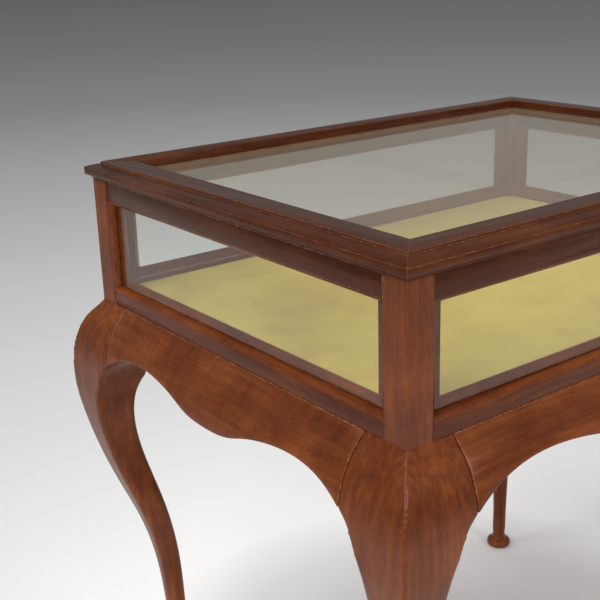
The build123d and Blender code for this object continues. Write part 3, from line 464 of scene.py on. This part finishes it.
class TableWoodSettings(bpy.types.PropertyGroup):
    dark: tint("Dark bands", "#45200b")
    middle: tint("Wood", "#683112")
    light: tint("Light bands", "#85471d")
    # Pale colour of the arrises: partly wear, partly a painted highlight.
    rubbed_and_highlit: tint("Rubbed arrises", "#c08a5e")
    bare_dark: tint("Bare wood flecks", "#8a6a45")
    bare_light: tint("Bare wood", "#b6946a")
    band_width: length("Band width", 6.0, "Width of the dark and light bands")
    band_length: length("Band length", 150.0, "Length of the bands along the grain")
    pore_width: length("Pore width", 0.55, "Width of the pores as drawn")
    pore_length: length("Pore length", 16.0, "Length of the pores as drawn")
    cloud: length("Cloud size", 70.0, "Size of the broad dark and pale patches")
    drift: length("Drift size", 120.0, "Distance over which the grain wanders")
    drift_reach: length("Drift", 14.0, "How far the grain wanders sideways")
    # Size of the patches that break the arrises' pale colour of wear and painted highlight.
    rub_and_highlight_size: length("Chip size", 5.0, "Size of the rubbed places on the arrises")
    leg_skin: length("Leg skin", 1.6, "Size of the faces that the legs are carved with")
    arris: length("Arris", 0.55, "Width that wear has taken off an arris")


class TableGlassSettings(bpy.types.PropertyGroup):
    tint: tint("Glass", "#fcfefd")
    dust: tint("Dust", "#d9c8ac")
    dust_share: bpy.props.FloatProperty(name="Dust share", default=0.07, min=0.0, max=1.0,
                                        description="Share of the lid glass that dust covers")


class TableClothSettings(bpy.types.PropertyGroup):
    body: tint("Cloth", "#c5aa37")
    faded: tint("Faded cloth", "#cdb548")
    shade: tint("Dull cloth", "#b8992f")
    yarn: length("Yarn spacing", 0.9, "Distance between yarns as drawn")
    fade: length("Fading size", 110.0, "Size of the faded patches")


class TableStageSettings(bpy.types.PropertyGroup):
    # Painted light on the floor: the brightest colour of the painted pool of light, and the grey it
    # falls off to far away, also the far wall seen by the camera.
    painted_lit_floor: tint("Floor", "#f6f6f6")
    floor_far: tint("Far floor", "#646464")
    lamp_level: bpy.props.FloatProperty(name="Lamp level", description="Strength of the sun lamp",
                                        default=1.5, min=0.0)
    sky_level: bpy.props.FloatProperty(name="Sky level", description="Strength of the soft light",
                                       default=0.6, min=0.0)
    room_level: bpy.props.FloatProperty(name="Room level", default=0.22, min=0.0,
                                        description="Strength of the room in polish and glass")
    lens: bpy.props.FloatProperty(name="Lens", description="Focal length of the camera",
                                  unit="CAMERA", default=63.78, min=1.0)


# ---- operators ------------------------------------------------------------------
class TABLE_OT_legs(bpy.types.Operator):
    """Dresses the four legs with their posts"""
    bl_idname = "table.legs"
    bl_label = "Legs"

    def execute(self, context):
        wood = context.scene.table_wood
        soft_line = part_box("bottom_rail_front")[0][2] - SOFT_LINE_DROP
        for corner in CORNERS:
            node = f"leg_{corner}"
            piece = copy_of(node, f"{node}_wood")
            soften_below(piece, wood.leg_skin, soft_line)
            give_materials(piece, wood_pair("leg_mahogany", "z", shift=(40, 13, 7), figure=0.35))
            stand_for(piece, node, "table")
        return {"FINISHED"}


class TABLE_OT_aprons(bpy.types.Operator):
    """Dresses the four swelled aprons"""
    bl_idname = "table.aprons"
    bl_label = "Aprons"

    def execute(self, context):
        wood = context.scene.table_wood
        for side in SIDES:
            figure = 0.9 if run_axis(side) == "y" else 0.3
            shaped_copy(f"apron_{side}",
                        wood_pair("apron_mahogany", run_axis(side), shift=(90, -31, 23),
                                  figure=figure),
                        "table", 0.5 * wood.arris, angle=40)
        return {"FINISHED"}


class TABLE_OT_rails(bpy.types.Operator):
    """Dresses the straight rails above and below the panes"""
    bl_idname = "table.rails"
    bl_label = "Rails"

    def execute(self, context):
        wood = context.scene.table_wood
        for side in SIDES:
            for level, shift, tone in (("bottom", (15, 61, 44), 0.68),
                                       ("top", (-70, 27, -52), 0.42)):
                shaped_copy(f"{level}_rail_{side}",
                            wood_pair(f"{level}_rail_mahogany", run_axis(side), shift=shift,
                                      tone=tone, figure=0.2),
                            "table", wood.arris)
        return {"FINISHED"}


class TABLE_OT_beads(bpy.types.Operator):
    """Dresses the beads on both sides of the panes"""
    bl_idname = "table.beads"
    bl_label = "Glazing beads"

    def execute(self, context):
        wood = context.scene.table_wood
        for side in SIDES:
            for layer, tone in (("outer", 1.0), ("inner", 0.85)):
                shaped_copy(f"{layer}_beads_{side}",
                            wood_pair(f"{layer}_bead_mahogany", run_axis(side), shift=(33, 71, 12),
                                      tone=tone, figure=0.1),
                            "table", 0.7 * wood.arris, angle=50)
        return {"FINISHED"}


class TABLE_OT_lid(bpy.types.Operator):
    """Dresses the lid's moulded members and the beads under its glass"""
    bl_idname = "table.lid"
    bl_label = "Lid"

    def execute(self, context):
        wood = context.scene.table_wood
        for side in SIDES:
            shaped_copy(f"lid_member_{side}",
                        wood_pair("lid_mahogany", run_axis(side), shift=(-55, 44, -18), tone=0.5,
                                  figure=0.2),
                        "lid", wood.arris, angle=28)
            shaped_copy(f"lid_bead_{side}",
                        wood_pair("lid_bead_mahogany", run_axis(side), shift=(8, -12, 66), tone=0.8,
                                  figure=0.1),
                        "lid", 0.6 * wood.arris)
        return {"FINISHED"}


class TABLE_OT_glass(bpy.types.Operator):
    """Gives the panes their glass"""
    bl_idname = "table.glass"
    bl_label = "Glass"

    def execute(self, context):
        settings = context.scene.table_glass
        clear, dust = tuple(settings.tint), tuple(settings.dust)
        side_glass = make_old_glass("old_sheet_glass", clear, 0.0, dust)
        for side in SIDES:
            paint_node(f"side_glass_{side}", side_glass)
        lid_glass = make_old_glass("dusty_sheet_glass", clear, settings.dust_share, dust)
        paint_node("lid_glass", lid_glass)
        return {"FINISHED"}


class TABLE_OT_floor_cloth(bpy.types.Operator):
    """Dresses the display floor: its cloth, board and cleats"""
    bl_idname = "table.floor_cloth"
    bl_label = "Display floor"

    def execute(self, context):
        lay_cloth(context.scene.table_cloth)
        beech = make_bare_beech("bare_beech", context.scene.table_wood)
        paint_node("base_board", beech)
        for side in SIDES:
            paint_node(f"cleat_{side}", beech)
        return {"FINISHED"}


def lay_cloth(cloth):
    """The cloth laid flat on the board, as thick as its solid."""
    low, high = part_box("fabric_lining")
    width, depth = high[0] - low[0], high[1] - low[1]
    deselect_all()
    bpy.ops.mesh.primitive_grid_add(x_subdivisions=CLOTH_CELLS[0], y_subdivisions=CLOTH_CELLS[1],
                                    size=1.0)
    sheet = bpy.context.object
    sheet.name = "laid_cloth"
    bpy.ops.object.mode_set(mode="EDIT")
    bpy.ops.mesh.select_all(action="SELECT")
    bpy.ops.transform.resize(value=(width, depth, 1.0))
    middle = ((low[0] + high[0]) / 2, (low[1] + high[1]) / 2, high[2])
    bpy.ops.transform.translate(value=middle)
    bpy.ops.object.mode_set(mode="OBJECT")
    add_modifier(sheet, "SOLIDIFY", thickness=high[2] - low[2], offset=-1.0)
    shade_smooth(sheet)
    give_materials(sheet, [make_woven_cloth("cotton_rep_cloth", cloth)])
    stand_for(sheet, "fabric_lining", "table")


class TABLE_OT_metalwork(bpy.types.Operator):
    """Gives the hinges, lock, key, screws and pins their metals"""
    bl_idname = "table.metalwork"
    bl_label = "Metalwork"

    def execute(self, context):
        brass = make_metal("aged_cast_brass", colour("#b08d4a"), colour("#6b4f26"), 0.3)
        steel = make_metal("worn_bright_steel", colour("#8f8c88"), colour("#5a4f47"), 0.35)
        for node in frame["nodes"]:
            if node.startswith("screws") or node == "key":
                paint_node(node, steel)
            elif node.startswith(("hinge", "lock", "link_plate", "escutcheon", "bead_pins")):
                paint_node(node, brass)
        return {"FINISHED"}


class TABLE_OT_studio(bpy.types.Operator):
    """Builds the floor, the sky, the lamps and the camera"""
    bl_idname = "table.studio"
    bl_label = "Studio"

    def execute(self, context):
        stage = context.scene.table_stage
        build_floor(stage)
        build_sky(stage)
        build_lamps(stage)
        place_camera(stage)
        return {"FINISHED"}


def build_floor(stage):
    """A pale floor with painted light: painted shade under the table, a painted pool of light round
    it, and darkening with distance from the table.
    """
    deselect_all()
    bpy.ops.mesh.primitive_circle_add(vertices=96, radius=FLOOR_RADIUS, fill_type="NGON")
    floor = bpy.context.object
    floor.name = "studio_floor"
    material, output = empty_material("studio_floor_painted_light")
    place = add_node(material, "ShaderNodeTexCoord")
    distance = add_node(material, "ShaderNodeVectorMath", operation="LENGTH",
                        links={0: place.outputs["Object"]})
    spread = add_node(material, "ShaderNodeMath", operation="LOGARITHM",
                      links={0: distance.outputs["Value"]}, inputs={1: 10.0})
    share = add_node(material, "ShaderNodeMapRange", links={"Value": spread.outputs[0]},
                     inputs={"From Min": -0.7, "From Max": 1.3})
    # Painted light: the first stops are painted shade under the table, the lit floor colour is the
    # painted pool of light, and later stops darken with distance.
    tones = add_node(material, "ShaderNodeValToRGB", links={"Fac": share.outputs[0]})
    set_ramp(tones, [(0.0, colour("#c6c6c6")), (0.13, colour("#dedede")),
                     (0.20, tuple(stage.painted_lit_floor)), (0.30, colour("#e6e6e6")),
                     (0.46, colour("#cacaca")),
                     (0.60, colour("#a9a9a9")), (0.74, colour("#818181")),
                     (0.86, colour("#6f6f6f")),
                     (1.0, tuple(stage.floor_far))])
    paint = add_node(material, "ShaderNodeBsdfDiffuse", links={"Color": tones.outputs[0]},
                     inputs={"Roughness": 0.0})
    link(material, paint.outputs[0], output.inputs["Surface"])
    floor.data.materials.append(material)


def build_sky(stage):
    """Even soft light, and the far wall's grey where the camera or a polished face sees it."""
    world = bpy.data.worlds.new("studio_sky")
    bpy.context.scene.world = world
    world.use_nodes = True
    world.node_tree.nodes.clear()
    output = add_node(world, "ShaderNodeOutputWorld")
    ray = add_node(world, "ShaderNodeLightPath")
    soft = add_node(world, "ShaderNodeBackground",
                    inputs={"Color": grey(1.0), "Strength": stage.sky_level})
    wall = add_node(world, "ShaderNodeBackground",
                    inputs={"Color": tuple(stage.floor_far), "Strength": 1.0})
    room = add_node(world, "ShaderNodeBackground",
                    inputs={"Color": grey(1.0), "Strength": stage.room_level})
    shone = add_node(world, "ShaderNodeMixShader",
                     links={0: ray.outputs["Is Glossy Ray"], 1: soft.outputs[0],
                            2: room.outputs[0]})
    seen = add_node(world, "ShaderNodeMixShader",
                    links={0: ray.outputs["Is Camera Ray"], 1: shone.outputs[0],
                           2: wall.outputs[0]})
    link(world, seen.outputs[0], output.inputs["Surface"])


def add_area_lamp(name, place, target):
    """A soft box at a place, aimed at a target."""
    deselect_all()
    bpy.ops.object.light_add(type="AREA", location=place)
    lamp = bpy.context.object
    lamp.name = name
    lamp.data.shape = "RECTANGLE"
    lamp.data.size, lamp.data.size_y = SOFT_BOX_SIZE
    lamp.data.energy = SOFT_BOX_POWER
    lamp.rotation_euler = (Vector(target) - Vector(place)).to_track_quat("-Z", "Y").to_euler()
    lamp.visible_camera = False


def build_lamps(stage):
    """A wide sun for the main light, and two soft boxes that shine in the polish."""
    deselect_all()
    bpy.ops.object.light_add(type="SUN", location=(0, 0, 3))
    sun = bpy.context.object
    sun.name = "wide_sun"
    sun.data.energy = stage.lamp_level
    sun.data.angle = math.radians(SUN_SPREAD)
    sun.rotation_euler = Vector(SUN_DIRECTION).to_track_quat("-Z", "Y").to_euler()
    for name, (place, target) in SOFT_BOXES.items():
        add_area_lamp(name, place, target)


def place_camera(stage):
    """Camera at a standing visitor's eye, looking down on the near corner."""
    deselect_all()
    bpy.ops.object.camera_add(location=CAMERA_PLACE)
    camera = bpy.context.object
    camera.name = "visitor_camera"
    camera.data.sensor_width = SENSOR_WIDTH
    camera.data.lens = stage.lens
    camera.data.clip_end = VIEW_LIMIT
    yaw, pitch, roll = (math.radians(angle) for angle in CAMERA_TURN)
    forward = Vector((math.sin(yaw) * math.cos(pitch), math.cos(yaw) * math.cos(pitch),
                      -math.sin(pitch)))
    right = Vector((math.cos(yaw), -math.sin(yaw), 0.0))
    down = forward.cross(right)
    turned_right = right * math.cos(roll) + down * math.sin(roll)
    turned_down = down * math.cos(roll) - right * math.sin(roll)
    axes = Matrix((turned_right, -turned_down, -forward)).transposed()
    camera.rotation_euler = axes.to_euler()
    bpy.context.scene.camera = camera


class TABLE_PT_panel(bpy.types.Panel):
    """Lists the table's pieces in the sidebar"""
    bl_idname = "TABLE_PT_panel"
    bl_label = "Display table"
    bl_space_type = "VIEW_3D"
    bl_region_type = "UI"
    bl_category = "Table"

    def draw(self, context):
        layout = self.layout
        for step in STEPS:
            layout.operator(step.bl_idname)
        for group in ("table_wood", "table_glass", "table_cloth", "table_stage"):
            box = layout.box()
            settings = getattr(context.scene, group)
            for key in settings.__annotations__:
                box.prop(settings, key)


GROUPS = {
    "table_wood": TableWoodSettings,
    "table_glass": TableGlassSettings,
    "table_cloth": TableClothSettings,
    "table_stage": TableStageSettings,
}
STEPS = (
    TABLE_OT_legs,
    TABLE_OT_aprons,
    TABLE_OT_rails,
    TABLE_OT_beads,
    TABLE_OT_lid,
    TABLE_OT_glass,
    TABLE_OT_floor_cloth,
    TABLE_OT_metalwork,
    TABLE_OT_studio,
)


def register():
    for item in (*GROUPS.values(), *STEPS, TABLE_PT_panel):
        bpy.utils.register_class(item)
    for key, group in GROUPS.items():
        setattr(bpy.types.Scene, key, bpy.props.PointerProperty(type=group))


def unregister():
    for key in GROUPS:
        delattr(bpy.types.Scene, key)
    for item in reversed((*GROUPS.values(), *STEPS, TABLE_PT_panel)):
        bpy.utils.unregister_class(item)


def main():
    register()
    bpy.context.scene.view_settings.view_transform = "Standard"
    bpy.ops.table.legs()
    bpy.ops.table.aprons()
    bpy.ops.table.rails()
    bpy.ops.table.beads()
    bpy.ops.table.lid()
    bpy.ops.table.glass()
    bpy.ops.table.floor_cloth()
    bpy.ops.table.metalwork()
    bpy.ops.table.studio()


if __name__ == "__main__":
    main()
